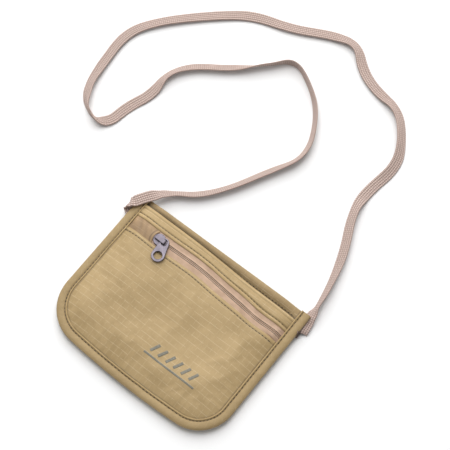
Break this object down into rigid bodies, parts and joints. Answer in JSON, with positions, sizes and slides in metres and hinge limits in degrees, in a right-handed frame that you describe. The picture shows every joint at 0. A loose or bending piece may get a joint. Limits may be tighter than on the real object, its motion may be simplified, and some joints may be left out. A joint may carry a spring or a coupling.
{
  "type": "neck pouch wallet",
  "caption": "Flat fabric neck pouch with an open slip pocket, a zipped front pocket and a narrow braided neck strap.",
  "frame": {"origin": "middle of the pouch's footprint on the surface it lies on, without the strap", "axes": "+X along the mouth towards the pouch's right side seen from the front, +Y towards the mouth, +Z out of the front, the pouch lying on its back"},
  "size_m": [0.2121, 0.2587, 0.0114],
  "materials": {
    "front_ripstop": "matt woven ripstop nylon",
    "back_ripstop": "matt woven ripstop nylon",
    "lining_cloth": "plain woven lining",
    "binding_tape": "folded woven tape",
    "zip_tape": "fine ribbed tape",
    "zip_coil": "moulded nylon coil",
    "slider_metal": "dark gunmetal, satin",
    "sewing_thread": "spun polyester thread",
    "strap_braid": "flat braided cord",
    "print_ink": "flat screen-print ink"
  },
  "bodies": {
    "pouch": {"back_panel": "back_ripstop", "pocket_divider": "lining_cloth", "front_panel": "front_ripstop", "front_top_strip": "front_ripstop", "zip_end_tab": "front_ripstop", "edge_binding": "binding_tape", "zip_tape_upper": "zip_tape", "zip_tape_lower": "zip_tape", "zip_coil_upper": "zip_coil", "zip_coil_lower": "zip_coil", "binding_stitching": "sewing_thread", "zip_upper_stitching": "sewing_thread", "zip_lower_stitching": "sewing_thread", "hem_stitching": "sewing_thread", "strap_end_left": "strap_braid", "strap_end_right": "strap_braid", "bartack_left": "sewing_thread", "bartack_right": "sewing_thread", "printed_mark": "print_ink", "neck_strap": "strap_braid"},
    "slider": {"slider_body": "slider_metal", "slider_crown": "slider_metal"},
    "pull": {"pull_tab": "slider_metal"}
  },
  "joints": [
    {"name": "slider_slide", "type": "slide", "parent": "pouch", "child": "slider", "axis": [0.9996, -0.0297, 0], "range_m": [0, 0.081]},
    {"name": "pull_swivel", "type": "hinge", "parent": "slider", "child": "pull", "pos_m": [-0.03149, 0.03103, 0.0095], "axis": [0, 0, 1], "range_deg": [0, 150]}
  ]
}
